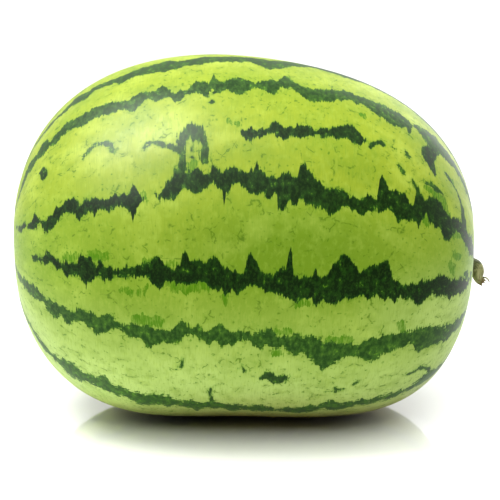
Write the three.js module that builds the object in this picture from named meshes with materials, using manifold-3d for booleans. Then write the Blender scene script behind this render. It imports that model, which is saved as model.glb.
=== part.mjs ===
// A whole oval watermelon lying on its side, with the short dried stem it was cut with.
// Millimetres, +Z up. The stem end points along +X, and the origin is the middle of the flat spot
// that the fruit rests on.

import * as THREE from 'three';
import { mergeVertices } from 'three/addons/utils/BufferGeometryUtils.js';
import Module from 'manifold-3d';

const wasm = await Module();
wasm.setup();

// The fruit swells out from its long axis, by a different amount upwards, downwards and sideways.
// reach is the largest swell. A higher endPower keeps it full further along, and a higher blunt
// turns it in more squarely at the ends. lean moves the fullest place towards the blossom end, and
// spread draws it out or in along the axis.
const halfLength = 149;
const upwards = { reach: 110, endPower: 1.85, blunt: 1.9, lean: 0.1, spread: -0.2 };
const downwards = { reach: 124.5, endPower: 4.8, blunt: 3, lean: -0.04, spread: 0.2 };
const sideways = { reach: 119, endPower: 2.7, blunt: 2.3, lean: 0, spread: 0 };
const sectionPower = 2.1; // the cross-section's squareness, where 2 is an ellipse
const flatSpotDepth = 1; // how far the belly is pressed flat
const axisHeight = downwards.reach - flatSpotDepth;

// The fruit grew between two poles that lie a little below the ends of its long axis. The stem
// stands in a hollow at one of them.
const stemPoleDrop = 28;
const blossomPoleDrop = 17;
const hollowDepth = 3.5;
const hollowRadius = 14;

const aroundFruit = 64;
const alongFruit = 40;

// The stem leaves the hollow, bends over and hangs down. Places are from the middle of its root.
const stemGap = 0.3; // between the stem's root and the fruit
const stemPath = [
  [-4, 0, 0],
  [1, 0, 0.2],
  [4.6, -0.4, -0.6],
  [6.6, -1.2, -3.6],
  [6.8, -2, -7],
  [8, -2.6, -9.8],
  [10.2, -3, -12],
];
const stemRadii = [5.4, 4.9, 4.2, 4.1, 3.6, 2.9, 2.5];
const stemRibs = 5;
const stemRibHeight = 0.07; // as a share of the radius
const stemSides = 20;
const stemSteps = 28;

// A loose fibre torn from the cut end
const fibrePath = [
  [8.4, -2.8, -8.8],
  [10.6, -3.4, -7.9],
  [13, -3.8, -8.4],
  [14.6, -4, -10.4],
];
const fibreRadii = [0.8, 0.55, 0.45, 0.35];
const fibreSides = 8;
const fibreSteps = 10;

const rindMaterial = new THREE.MeshStandardMaterial({ color: 0xa3bf52, roughness: 0.4, metalness: 0 });
const stemMaterial = new THREE.MeshStandardMaterial({ color: 0x6f7443, roughness: 0.8, metalness: 0 });

// How far one side stands from the long axis, at place from -1, the blossom end, to 1, the stem end
function swell(side, place) {
  const shifted = place + (side.lean + side.spread * place) * (1 - place * place);
  const share = Math.max(0, 1 - Math.abs(shifted) ** side.endPower);
  return side.reach * share ** (1 / side.blunt);
}

// True inside the fruit, for a point measured from the middle of its long axis
function isInside(point) {
  const place = point.x / halfLength;
  if (Math.abs(place) >= 1) {
    return false;
  }
  const up = swell(upwards, place);
  const down = swell(downwards, place);
  const across = Math.abs(point.y) / swell(sideways, place);
  const tall = Math.abs(point.z - (up - down) / 2) / ((up + down) / 2);
  return across ** sectionPower + tall ** sectionPower < 1;
}

// The line between the poles: its middle, and the angle that it dips at the stem end
const growthMiddle = new THREE.Vector3(0, 0, -(stemPoleDrop + blossomPoleDrop) / 2);
const growthDip = Math.atan2(stemPoleDrop - blossomPoleDrop, 2 * halfLength);

// The point of the skin that lies in one direction from the middle of the growth line
function findSkin(direction, allowance) {
  let low = 0;
  let high = 2 * halfLength;
  const point = new THREE.Vector3();
  for (let step = 0; step < 40; step += 1) {
    const middle = (low + high) / 2;
    point.copy(growthMiddle).addScaledVector(direction, middle);
    if (isInside(point)) {
      low = middle;
    } else {
      high = middle;
    }
  }
  return point.addScaledVector(direction, allowance);
}

// The stem's root, where the skin would be without the hollow
const stemAxis = new THREE.Vector3(Math.cos(growthDip), 0, -Math.sin(growthDip));
const stemRoot = findSkin(stemAxis, 0);

// The fruit's skin, grown outwards by an allowance, with the hollow at the stem end
function makeSkin(allowance) {
  const geometry = new THREE.SphereGeometry(1, aroundFruit, alongFruit);
  geometry.rotateZ(-Math.PI / 2).rotateY(growthDip); // its poles are the fruit's
  const places = geometry.attributes.position;
  const direction = new THREE.Vector3();
  for (let index = 0; index < places.count; index += 1) {
    direction.fromBufferAttribute(places, index).normalize();
    const fromRoot = findSkin(direction, 0).distanceTo(stemRoot);
    const hollow = hollowDepth * Math.exp(-((fromRoot / hollowRadius) ** 2));
    const point = findSkin(direction, allowance - hollow);
    places.setXYZ(index, point.x, point.y, point.z);
  }
  geometry.translate(0, 0, axisHeight);
  return geometry;
}

// A tapering round stick that follows a path, with ribs along it
function makeStick(path, radii, sides, steps, ribs, ribHeight) {
  const curve = new THREE.CatmullRomCurve3(path.map((place) => new THREE.Vector3(...place)));
  const frames = curve.computeFrenetFrames(steps, false);
  const geometry = new THREE.CylinderGeometry(1, 1, 1, sides, steps);
  const places = geometry.attributes.position;
  const point = new THREE.Vector3();
  for (let index = 0; index < places.count; index += 1) {
    const step = Math.round((places.getY(index) + 0.5) * steps);
    const share = (step / steps) * (radii.length - 1);
    const knot = Math.min(Math.floor(share), radii.length - 2);
    const angle = Math.atan2(places.getZ(index), places.getX(index));
    const rib = 1 + ribHeight * Math.cos(ribs * angle);
    const radius = THREE.MathUtils.lerp(radii[knot], radii[knot + 1], share - knot) * rib;
    curve.getPoint(step / steps, point);
    point.addScaledVector(frames.normals[step], radius * places.getZ(index));
    point.addScaledVector(frames.binormals[step], radius * places.getX(index));
    places.setXYZ(index, point.x, point.y, point.z);
  }
  geometry.translate(stemRoot.x, stemRoot.y, stemRoot.z + axisHeight);
  return geometry;
}

// A closed three.js geometry as a solid that can be cut and joined
function toSolid(geometry) {
  geometry.deleteAttribute('normal');
  geometry.deleteAttribute('uv');
  const merged = mergeVertices(geometry, 1e-4);
  return new wasm.Manifold(new wasm.Mesh({
    numProp: 3,
    vertProperties: new Float32Array(merged.attributes.position.array),
    triVerts: new Uint32Array(merged.index.array),
  }));
}

// A solid back as a three.js mesh
function toMesh(name, solid, material) {
  const { vertProperties, triVerts } = solid.getMesh();
  const geometry = new THREE.BufferGeometry();
  geometry.setAttribute('position', new THREE.BufferAttribute(vertProperties, 3));
  geometry.setIndex(new THREE.BufferAttribute(triVerts, 1));
  geometry.computeVertexNormals();
  const mesh = new THREE.Mesh(geometry, material);
  mesh.name = name;
  return mesh;
}

// The fruit, with its belly cut flat at the ground
function makeFruit() {
  const size = 4 * halfLength;
  const ground = new THREE.BoxGeometry(size, size, size).translate(0, 0, -size / 2);
  return toMesh('fruit', toSolid(makeSkin(0)).subtract(toSolid(ground)), rindMaterial);
}

// The stem and its torn fibre, fitted to the hollow that it grows from
function makeStem() {
  const stick = toSolid(makeStick(stemPath, stemRadii, stemSides, stemSteps, stemRibs, stemRibHeight));
  const fibre = toSolid(makeStick(fibrePath, fibreRadii, fibreSides, fibreSteps, 0, 0));
  const fitted = stick.add(fibre).subtract(toSolid(makeSkin(stemGap)));
  return toMesh('stem', fitted, stemMaterial);
}

const watermelon = new THREE.Group();
watermelon.add(makeFruit(), makeStem());

export default watermelon;
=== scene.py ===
import math

import bpy
import numpy as np
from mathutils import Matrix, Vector


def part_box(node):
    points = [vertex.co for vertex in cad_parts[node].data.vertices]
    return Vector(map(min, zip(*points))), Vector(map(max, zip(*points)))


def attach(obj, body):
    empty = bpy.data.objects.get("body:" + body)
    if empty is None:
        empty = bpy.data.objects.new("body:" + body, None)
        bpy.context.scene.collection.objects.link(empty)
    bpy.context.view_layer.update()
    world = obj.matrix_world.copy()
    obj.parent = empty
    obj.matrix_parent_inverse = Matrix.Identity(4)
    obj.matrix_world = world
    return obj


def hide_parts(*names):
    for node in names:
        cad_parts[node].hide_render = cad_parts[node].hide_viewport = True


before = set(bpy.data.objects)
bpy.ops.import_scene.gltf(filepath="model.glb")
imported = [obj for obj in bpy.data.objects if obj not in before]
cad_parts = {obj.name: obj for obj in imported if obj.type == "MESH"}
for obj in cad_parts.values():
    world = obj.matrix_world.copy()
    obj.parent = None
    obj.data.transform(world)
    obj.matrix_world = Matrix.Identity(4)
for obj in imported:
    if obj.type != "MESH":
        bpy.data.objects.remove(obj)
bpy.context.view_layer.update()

fruitLow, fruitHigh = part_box("fruit")
mm = 0.001


def hexColour(text):
    # sRGB hex to linear RGBA
    parts = [int(text[place:place + 2], 16) / 255 for place in (1, 3, 5)]
    linear = [part / 12.92 if part <= 0.04045 else ((part + 0.055) / 1.055) ** 2.4 for part in parts]
    return (*linear, 1.0)


def addNode(tree, kind, settings, output=None):
    # a setting is one of the node's own options or an input, and an input may take another node's output
    node = tree.nodes.new("ShaderNode" + kind)
    for name, value in settings.items():
        if isinstance(value, bpy.types.NodeSocket):
            tree.links.new(value, node.inputs[name])
        elif isinstance(name, str) and hasattr(node, name):
            setattr(node, name, value)
        else:
            node.inputs[name].default_value = value
    shown = [socket for socket in node.outputs if socket.enabled]
    return node.outputs[output] if output else shown[0] if shown else None


def startMaterial(name):
    material = bpy.data.materials.new(name)
    material.use_nodes = True
    material.node_tree.nodes.clear()
    return material, material.node_tree


def showObject(name, data):
    shown = bpy.data.objects.new(name, data)
    bpy.context.scene.collection.objects.link(shown)
    return shown


def storeOnPoints(mesh, name, values):
    # a number or a place for each point of the mesh, which its material reads
    kind, key = ("FLOAT", "value") if values.ndim == 1 else ("FLOAT_VECTOR", "vector")
    mesh.attributes.new(name, kind, "POINT").data.foreach_set(key, values.astype(np.float32).ravel())


def ease(share):
    return share ** 2 * (3 - 2 * share)


# The fruit's form, in metres, as it grew
fruitForm = {
    "halfLength": (fruitHigh.x - fruitLow.x) / 2,
    "upwards": {"reach": 0.110, "endPower": 1.85, "blunt": 1.9, "lean": 0.1, "spread": -0.2},
    "downwards": {"reach": 0.1245, "endPower": 4.8, "blunt": 3.0, "lean": -0.04, "spread": 0.2},
    "sideways": {"reach": 0.119, "endPower": 2.7, "blunt": 2.3, "lean": 0.0, "spread": 0.0},
    "sectionPower": 2.1,
    "flatSpotDepth": 0.001,
    "stemPoleDrop": 0.028,     # the poles it grew between lie below the ends of its long axis
    "blossomPoleDrop": 0.017,
    "hollowDepth": 0.0035,     # where the stem stands
    "hollowRadius": 0.014,
    "skinHalvings": 36,        # how often the search for the skin halves its step
}
axisHeight = fruitForm["downwards"]["reach"] - fruitForm["flatSpotDepth"]
growthMiddle = np.array([0, 0, -(fruitForm["stemPoleDrop"] + fruitForm["blossomPoleDrop"]) / 2])
growthDip = math.atan2(fruitForm["stemPoleDrop"] - fruitForm["blossomPoleDrop"], 2 * fruitForm["halfLength"])
stemwards = np.array([math.cos(growthDip), 0, -math.sin(growthDip)])
crownwards = np.array([math.sin(growthDip), 0, math.cos(growthDip)])
frontwards = np.array([0, -1.0, 0])


def swell(side, place):
    shifted = place + (side["lean"] + side["spread"] * place) * (1 - place * place)
    share = np.maximum(0, 1 - np.abs(shifted) ** side["endPower"])
    return side["reach"] * share ** (1 / side["blunt"])


def isInside(points):
    place = np.clip(points[..., 0] / fruitForm["halfLength"], -1, 1)
    up = swell(fruitForm["upwards"], place)
    down = swell(fruitForm["downwards"], place)
    power = fruitForm["sectionPower"]
    with np.errstate(divide="ignore", invalid="ignore"):
        across = (np.abs(points[..., 1]) / swell(fruitForm["sideways"], place)) ** power
        tall = (np.abs(points[..., 2] - (up - down) / 2) / ((up + down) / 2)) ** power
    return (np.abs(place) < 1) & (across + tall < 1)


def findSkin(directions):
    # distance from the middle of the growth line to the skin, found by halving
    low = np.zeros(directions.shape[:-1])
    high = np.full(directions.shape[:-1], 2 * fruitForm["halfLength"])
    for halving in range(fruitForm["skinHalvings"]):
        middle = (low + high) / 2
        inside = isInside(growthMiddle + directions * middle[..., None])
        low = np.where(inside, middle, low)
        high = np.where(inside, high, middle)
    return low


# Places on the skin are given as on a globe. Latitude runs from -90 degrees at the blossom end to 90 at
# the stem end, and bearing runs round from 0 at the crown, past 90 at the front, to 180 on the belly.
def towards(latitude, bearing):
    lat, turn = np.radians(latitude), np.radians(bearing)
    flat = np.cos(lat)[..., None] * (
        np.sin(turn)[..., None] * frontwards + np.cos(turn)[..., None] * crownwards
    )
    return np.sin(lat)[..., None] * stemwards + flat


stripeForm = {
    "mmPerLatitude": 2.4,     # length of a degree along the fruit
    "middleRadius": 119.0,    # mm, of the fruit at its middle
    "deepest": 12.0,          # mm inside a mark's edge, and outside it, where the measure stops
    "furthest": -25.0,
    "strokeCombing": 0.45,    # how ragged a loose mark's edge is beside a stripe's
}

# Each stripe that grew from end to end: latitude, bearing of its upper edge, bearing of its lower edge.
# tone is 0 for a solid dark stripe and 1 for a light one with gaps.
stripes = {
    "crownStripe": {"tone": 0.5, "edges": [
        (-74, 12, 16), (-60, 12, 15), (-50, 11.5, 15), (-47, 7.5, 13.5), (-43.5, 9.5, 15.5),
        (-41, 8, 11.5), (-36, 9.5, 13), (-33.5, 8, 16), (-31.5, 7.5, 13), (-27, 5.5, 13), (-23, 4.5, 14),
        (-18, 6, 11.5), (-14, 3, 11), (-10, 3, 9), (-5, 1.5, 8), (0, 1, 7), (2, 1, 9.5), (5.5, 1.5, 11.5),
        (8, 0, 9.5), (12, -3, 4), (18, -5, 0.5), (26, -6, 3), (32, -5, 1), (40, -3, 1.5), (52, 1, 5),
        (66, 6, 10), (80, 4, 9),
    ]},
    "upperStripe": {"tone": 0.55, "edges": [
        (-78, 38, 40), (-70, 35, 40), (-67, 30.5, 36.5), (-63, 26.5, 32.5), (-61.5, 27.5, 33.8),
        (-59.5, 28.5, 31.5), (-56, 24.5, 33), (-53.5, 28.5, 31.5), (-51, 28, 32), (-49, 25.5, 31),
        (-46, 26.5, 30), (-42.5, 26, 32), (-40, 25.5, 30), (-37, 26, 31), (-32.5, 27, 30),
        (-31, 26.5, 32.8), (-29.8, 25.5, 33), (-28, 24.5, 29.5), (-26, 25.2, 28), (-24.5, 25, 29.5),
        (-23, 22.3, 29), (-21, 26.5, 28.5), (-19.5, 27.2, 31), (-16, 25.7, 28), (-14.5, 22.4, 27.7),
        (-12.5, 22.8, 28.6), (-11.3, 24.7, 29), (-10.5, 23, 26.3), (-10, 18.8, 26), (-9.5, 21.6, 26.4),
        (-8.8, 22, 27), (-8.3, 22.6, 29.5), (-7, 23.3, 26.5), (-5, 21.3, 27.5), (-3, 21.4, 28.6),
        (0, 22.5, 25.5), (2.5, 22.4, 24.8), (5, 20.3, 26.3), (6.5, 20.2, 26.6), (7.5, 19, 23.5),
        (9.3, 16, 23), (10.5, 18, 23), (12.5, 20.2, 24.3), (14, 21, 26), (17, 21.5, 27.8),
        (18.7, 20.3, 26), (21, 19.5, 26.6), (23.5, 18.4, 24.3), (26, 17.7, 22.7), (30, 18.3, 22.7),
        (33.5, 17.6, 25), (37, 18, 27), (40.5, 17.8, 26.6), (42.3, 18.7, 25.3), (43, 19, 28.4),
        (44.3, 20, 22.6), (46, 19, 22), (48, 17.5, 25), (50, 16, 28.5), (52, 13.5, 28), (55, 16, 25.5),
        (60, 17.5, 24.5), (66, 19, 27), (74, 22, 28), (82, 24, 30),
    ]},
    "brokenStripe": {"tone": 0.1, "edges": [
        (-2.6, 42, 42.2), (-1, 41.4, 44), (0.5, 40.3, 44), (1.7, 41.7, 42.8), (3, 41, 43.9),
        (4.5, 40, 42.3), (6.7, 38.1, 42), (8, 39.5, 42.8), (9, 40.3, 44.4), (10, 40, 41.8),
        (12.3, 38.5, 42), (15, 38.5, 41), (17, 38.8, 41.2), (19, 38.2, 40.6), (21, 37.5, 40.1),
        (22.3, 36, 40.6), (24.5, 36, 39), (26, 34.7, 39), (27, 34, 41), (28.5, 35.7, 41.6),
        (29.4, 37, 41), (29.8, 38.5, 38.7),
    ]},
    "shoulderStripeBlossomEnd": {"tone": 0.0, "edges": [
        (-72, 60, 61), (-69, 61.2, 63.3), (-65, 63, 65.2), (-61, 64.4, 66.5), (-59.5, 60.6, 67),
        (-58, 62.8, 65.5), (-56.5, 64.3, 65.8), (-55.5, 64.2, 69), (-53, 64.3, 69.8), (-52, 64, 67.3),
        (-51, 60, 65.6), (-50, 61.3, 64.6), (-48.5, 60.7, 63.7), (-47, 58, 63.5), (-45, 60, 64),
        (-43.7, 61.6, 66.2), (-42.3, 60.8, 63.8), (-40, 60, 63.6), (-39.4, 60.2, 65.4),
        (-38.8, 60.5, 63.4), (-35.5, 61, 64), (-34, 59.5, 62.8), (-31, 59.8, 63.5), (-30.4, 58.6, 64.2),
        (-29.9, 58.2, 65.2), (-29.6, 58, 70.6), (-29.3, 58.2, 65.4), (-28.5, 59.2, 63.8),
        (-27.6, 61.6, 62),
    ]},
    "shoulderStripe": {"tone": 0.08, "edges": [
        (-24.6, 59.8, 60), (-23, 59.6, 61.8), (-21, 57.5, 61), (-19.5, 55.3, 61.5), (-18, 53, 60),
        (-16.8, 54.5, 57), (-15, 54.3, 58.5), (-13.7, 53, 60.3), (-12, 54, 58.5), (-10.3, 55, 58),
        (-9.3, 51.8, 56.5), (-8, 53.3, 57.8), (-6.9, 54, 58.2), (-6.5, 54, 59), (-6.3, 54, 63.2),
        (-6.1, 54, 59), (-5.5, 53.8, 58.2), (-4.8, 53.3, 57.3), (-3.8, 51.8, 57), (-2.7, 53.7, 57),
        (-0.5, 53.8, 58.5), (0.7, 53.4, 59.8), (1.6, 53, 59.6), (2.2, 51.2, 59.5), (2.8, 53.4, 59.2),
        (3.3, 54.2, 59), (5.5, 55, 60.4), (7.6, 54.7, 58.3), (8.1, 54.5, 62.8), (9.4, 53.4, 63.6),
        (10.3, 53, 62.8), (11, 54, 61.2), (13, 54, 62), (13.6, 50.8, 60.5), (14.8, 50.4, 59.7),
        (15.6, 52.7, 61.5), (17, 53.3, 62), (18.5, 54.9, 62.5), (20, 57.3, 62.2), (21.8, 57.4, 63.6),
        (24, 57, 62), (27, 58.4, 61.7), (30, 58.5, 63), (32, 57.7, 61.5), (34.2, 57.3, 60.8),
        (34.7, 50.5, 60.5), (35.8, 51.2, 60.3), (37, 53.6, 60), (39.2, 53.8, 60.4), (40, 54, 63.8),
        (42, 53.4, 63), (43.2, 56.6, 62.5), (44.6, 57, 62), (45.1, 52.3, 62), (46.2, 52, 63.7),
        (47.4, 54, 61.5), (48.6, 53.5, 58.5), (49.6, 50.5, 60.5), (51.5, 51.6, 62), (53, 52.3, 62),
        (54.6, 54.6, 65.5), (56, 55, 66.2), (57.6, 56, 65), (58.6, 55, 61.5), (60.5, 54, 60.5),
        (63, 54, 60), (65, 55.5, 64), (68, 57, 67), (71, 56, 67), (76, 60, 68), (84, 62, 70),
    ]},
    "frontStripe": {"tone": 0.0, "edges": [
        (-61, 80.7, 81.3), (-58, 79.6, 81.6), (-55, 78.2, 81.8), (-53, 78.9, 81.4), (-51.5, 80.6, 83.1),
        (-50, 81.9, 84.2), (-49.3, 82, 84.5), (-48.3, 81.2, 85.6), (-46.5, 81.4, 85), (-45, 80.3, 85.3),
        (-44, 78.8, 85.4), (-43.3, 78.4, 86.6), (-42.8, 78.2, 88.9), (-42.3, 78.5, 86.8),
        (-41.4, 79.4, 86), (-40, 81.4, 85.4), (-38.4, 80.4, 84.8), (-36, 81.8, 84.6), (-34, 81.8, 84.4),
        (-32.5, 81, 84.2), (-30, 80.6, 83.5), (-28, 80.2, 83.7), (-26, 80, 84), (-24.8, 79, 86),
        (-23.8, 77.4, 87.2), (-22.5, 79, 86), (-21.5, 80.5, 84.5), (-19, 80.8, 85), (-18, 79.5, 85.2),
        (-17, 76.9, 85), (-16.3, 76, 84.8), (-15, 79.2, 84.4), (-13, 78.5, 83.8), (-11, 80, 84),
        (-9.4, 77.7, 86), (-7.7, 77.8, 86.5), (-6.6, 80.4, 86), (-5.3, 80.8, 88), (-3.6, 80.7, 86.5),
        (-2, 82, 88.2), (-0.3, 82, 86), (0.7, 75.3, 85.3), (1.6, 75.8, 85), (3, 78, 85), (4, 81, 85.4),
        (6, 81.3, 86.3), (8, 81.8, 86.7), (9.5, 80.8, 87), (11.3, 80.4, 87.3), (11.7, 76, 88),
        (12.1, 74.4, 88.3), (12.8, 75.6, 88.6), (13.2, 80.6, 88.8), (15, 82, 88.3), (17, 82.3, 88),
        (18.6, 82, 87.4), (19.2, 79, 89), (20, 81.8, 90), (22.4, 82, 88.5), (23.8, 78, 89.5),
        (25, 77, 90), (26.2, 75.4, 88.5), (27.6, 75.7, 88), (29.5, 78, 88.4), (31, 81, 88),
        (32.2, 79.2, 87.5), (34, 78.4, 88.6), (36, 78.3, 86.8), (37.4, 76.8, 89), (38.4, 76.2, 89.9),
        (39, 79.5, 88.5), (40.2, 82.4, 88.4), (41, 83.2, 90), (42.2, 84.3, 88.2), (44.3, 85, 88.5),
        (47, 84.4, 91.6), (48.6, 83.3, 91.4), (50.2, 83.3, 89.8), (52, 83, 88), (54.5, 81.9, 89.7),
        (56.5, 82.2, 90.6), (58.6, 83.6, 91.4), (59.2, 83.7, 94.2), (60, 84, 91.8), (62, 85, 91.8),
        (64, 85.3, 92), (66, 84.8, 93.8), (68, 86, 93.4), (69.6, 87, 91.8), (72, 86, 89), (75, 84.5, 86),
    ]},
    "lowerStripe": {"tone": 0.62, "edges": [
        (-80, 92, 98), (-71, 95, 100), (-64, 96, 101), (-62, 95, 101.6), (-60.3, 94.8, 101),
        (-58, 97, 101), (-56, 98, 102.6), (-54.5, 97.5, 104), (-53, 97.8, 104.8), (-51, 99, 103.4),
        (-49, 99.2, 104.4), (-47, 99, 102.7), (-44.3, 96.8, 102.4), (-41, 97.6, 105.1),
        (-39.8, 99, 104.4), (-38.5, 98.4, 104.5), (-37, 96.9, 102.5), (-35, 98.8, 102), (-33, 100, 103.5),
        (-31, 99, 103), (-29, 99.5, 104), (-26.3, 99.5, 106.8), (-24.5, 100.2, 105), (-21, 101, 104),
        (-19, 98.5, 104), (-17.4, 95.6, 102.1), (-16.5, 97.5, 101.7), (-15, 99, 101.3),
        (-13, 98.3, 102.2), (-11, 100, 103.8), (-9.8, 100.3, 103.8), (-8, 98.5, 102.6), (-6.3, 96.4, 105),
        (-4.5, 98.5, 104), (-3, 99.4, 104.6), (-1, 100.1, 102.4), (1, 100, 102.3), (3.5, 100, 104),
        (5.5, 98.7, 104.6), (8.3, 98.4, 104), (10, 101, 104.7), (12, 100.3, 104), (14, 101, 106),
        (16, 99.3, 107), (17.5, 100.8, 106.5), (20.5, 101.5, 108.3), (22, 101.8, 110.5),
        (23.5, 103, 113.3), (25, 103, 112.6), (27, 103.3, 110.5), (30, 104, 108.7), (33, 104, 108.8),
        (35, 103.4, 110.4), (36.5, 102.8, 111.6), (38.5, 102.3, 110), (41, 102.4, 108.5),
        (44, 102.2, 107.4), (46.5, 102.5, 107.4), (48, 102.6, 109.5), (49.6, 103, 113.8),
        (51.5, 103, 112.2), (53.2, 103.2, 112.5), (55, 105, 114), (58, 107, 115.5), (61, 108.5, 117),
        (66, 111, 118), (72, 115, 121), (80, 118, 126),
    ]},
    "undersideStripe": {"tone": 0.8, "edges": [
        (-78, 127, 132), (-66, 127.5, 132), (-58, 128.5, 134), (-53, 129.5, 135), (-51.5, 126.5, 138),
        (-47, 126.8, 137.5), (-45.5, 128.3, 134.2), (-43.5, 127.8, 134), (-42, 128, 135.5),
        (-40.5, 126.6, 134), (-39.3, 124.3, 135.5), (-38, 128, 134.8), (-36.5, 129, 136.6),
        (-35, 128.5, 134.8), (-33, 130.2, 136), (-31, 130, 140.2), (-28.5, 130.7, 139.5),
        (-26.5, 130, 137.3), (-24, 130, 137.4), (-22.6, 129, 139.6), (-21.5, 129.6, 137), (-20, 132, 137),
        (-17, 133, 138), (-15, 132.4, 140), (-14, 133, 143.6), (-13, 132.7, 141.5), (-11.5, 134, 138.5),
        (-8.8, 132, 139), (-5.5, 133.3, 139), (-3.4, 134, 143), (-2.3, 133.8, 144), (-1, 133.8, 141),
        (0.8, 134.2, 140), (2.3, 135.6, 140), (4, 134, 142), (6.5, 134.3, 142.4), (9, 135, 141),
        (12.5, 137.4, 141), (15, 136, 141.5), (18, 136.2, 143.4), (21, 135, 143), (22.5, 133.4, 142),
        (24, 135, 140.5), (25.5, 133.5, 138), (27, 131, 138), (29, 132.3, 140), (31.5, 133.4, 140),
        (33.5, 134, 138), (35, 132, 138), (38, 133.5, 137.5), (41, 132.4, 138.5), (44.5, 132.8, 138),
        (48, 134.6, 137.3), (51, 133.8, 138.5), (54, 131, 141), (57, 134, 143), (61, 138, 146),
        (68, 143, 150), (78, 146, 154),
    ]},
}

# Branches, rings and loose marks beside the stripes: latitude, bearing and half width in mm along each.
# A half width below 0 leaves a gap, so that a row of dots is one mark.
strokes = {
    "upperBranch": {"tone": 0.1, "combing": 0.8, "path": [
        (50.8, 27, 3), (49.3, 31, 4.6), (49, 34.5, 4.4), (50, 37.2, 2.8), (51.1, 40, 0.8)]},
    "ringLeft": {"tone": 0.5, "combing": 1.0, "path": [
        (-15, 40.2, 1.8), (-16.6, 42.8, 2.3), (-17.7, 46, 1.2), (-17.8, 50, 1.1), (-17.6, 53, 2.4),
        (-18, 56, 4), (-20, 58.6, 3)]},
    "ringRight": {"tone": 0.5, "combing": 1.0, "path": [
        (-15, 40.2, 1.8), (-13.4, 42.6, 2.3), (-11.8, 45.6, 2.8), (-11.2, 48.5, 2.8), (-11.4, 50.8, 1.8)]},
    "ringBranch": {"tone": 0.5, "path": [
        (-17.6, 48.4, 1.9), (-19.6, 46.9, 1.5), (-21.5, 46.3, 1.3), (-23.5, 45, 1.3), (-26, 44.9, 1),
        (-27, 46.7, 1.4)]},
    "arch": {"tone": 0.6, "path": [
        (-42.6, 45.6, 0.5), (-41.4, 43.8, 0.8), (-39.8, 42.2, 1), (-38, 42, 1.1), (-36, 42.8, 1.4),
        (-34.9, 44.4, 1.3), (-34.9, 46, 0.8)]},
    "spot": {"tone": 0.1, "path": [(-56.2, 42.3, 2.6), (-55.2, 44.8, 2.9)]},
    "brokenTail": {"tone": 0.2, "path": [(31.8, 41, 0.5), (33, 39, 1), (34.2, 38, 1.8), (35.6, 38, 1.5)]},
    "dotsUnderUpper": {"tone": 0.1, "path": [
        (-9.6, 28.2, 1), (-9.8, 29, -0.8), (-11.2, 29.6, 1.1), (-10.6, 30.6, -0.8), (-9.9, 31.8, 0.9),
        (-11, 32.2, 1.1)]},
    "dotsInRing": {"tone": 0.1, "path": [
        (-14.4, 45.4, 0.5), (-14.2, 46.4, -1.4), (-14.8, 47.6, 0.5), (-14.2, 48.6, -1.4),
        (-15, 49.8, 0.6), (-14, 50.6, 0.5), (-14.8, 52, -1.4), (-13.4, 53, 0.6)]},
    "shoulderBranch": {"tone": 0.25, "path": [
        (55.4, 35.3, 0.9), (57.8, 36.8, 1.1), (60.4, 39.5, 0.8), (62.2, 43.5, 1.2), (63.6, 48, 2.2),
        (64.4, 54, 4), (64, 59, 4)]},
    "shoulderWisp": {"tone": 0.5, "path": [
        (46.8, 46.6, 0.7), (49.5, 46.4, 1.2), (51.6, 46.8, 1.3), (54, 47.6, 1), (55.4, 49.6, 0.8)]},
    "shoulderBarb": {"tone": 0.5, "path": [(49.4, 44.7, 0.6), (50.7, 46.6, 1.3)]},
    "shoulderHook": {"tone": 0.4, "path": [(43.9, 47.8, 0.8), (45, 49.8, 1), (45.6, 52.5, 1)]},
    "upperDash": {"tone": 0.6, "path": [(41.8, 36.8, 0.6), (42.9, 39.2, 1.2)]},
    "middleDash": {"tone": 0.6, "path": [(39.8, 44.4, 0.7), (41, 46.4, 1)]},
    "middleDot": {"tone": 0.6, "path": [(38, 37.8, 0.9), (38.6, 38.2, 0.8)]},
    "frontEndBlob": {"tone": 0.6, "path": [(67, 82.5, 1.2), (69, 84, 3)]},
    "lowMark": {"tone": 0.3, "combing": 0.8, "path": [
        (7.4, 117, 2.4), (8.7, 116.3, 3.4), (10, 118.2, 2.3), (11.6, 118.6, 3.6), (13.2, 117, 2.4)]},
    "dartLeft": {"tone": 0.4, "path": [(-17.3, 110, 0.3), (-17.5, 112.4, 0.9), (-18, 113.8, 1.2)]},
    "dartLeftTail": {"tone": 0.6, "path": [(-18, 113.8, 0.8), (-19.6, 115, 0.3)]},
    "dartRight": {"tone": 0.4, "path": [(-0.2, 111.6, 0.2), (0.4, 113, 0.6), (1, 114.4, 1)]},
    "dartRightTail": {"tone": 0.6, "path": [(0.4, 113, 0.4), (-1.4, 113.4, 0.3)]},
    "dash": {"tone": 0.4, "path": [(32.8, 122.2, 0.5), (34.4, 119.9, 0.6)]},
    "crossTwig": {"tone": 0.5, "path": [(25.6, 125.4, 0.3), (28.7, 124.4, 0.5), (31, 124, 0.4)]},
    "crossTwigBar": {"tone": 0.5, "path": [(28, 123, 0.1), (28.6, 125.6, 0.1)]},
    "twig": {"tone": 0.2, "path": [
        (-9.1, 133.5, 0.9), (-9.3, 129, 0.6), (-9.8, 126, 0.8), (-9, 123.6, 0.5), (-8, 121.6, 0.3)]},
    "twigFork": {"tone": 0.5, "path": [(-9.8, 126, 0.6), (-10.8, 123.8, 0.3)]},
    "hook": {"tone": 0.5, "path": [
        (47.2, 123.8, 1), (49.3, 124.2, 1.3), (51, 123.4, 1.2), (53, 125.8, 1.1), (54.6, 128.8, 1.1),
        (55, 132.5, 1.6)]},
}

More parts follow.
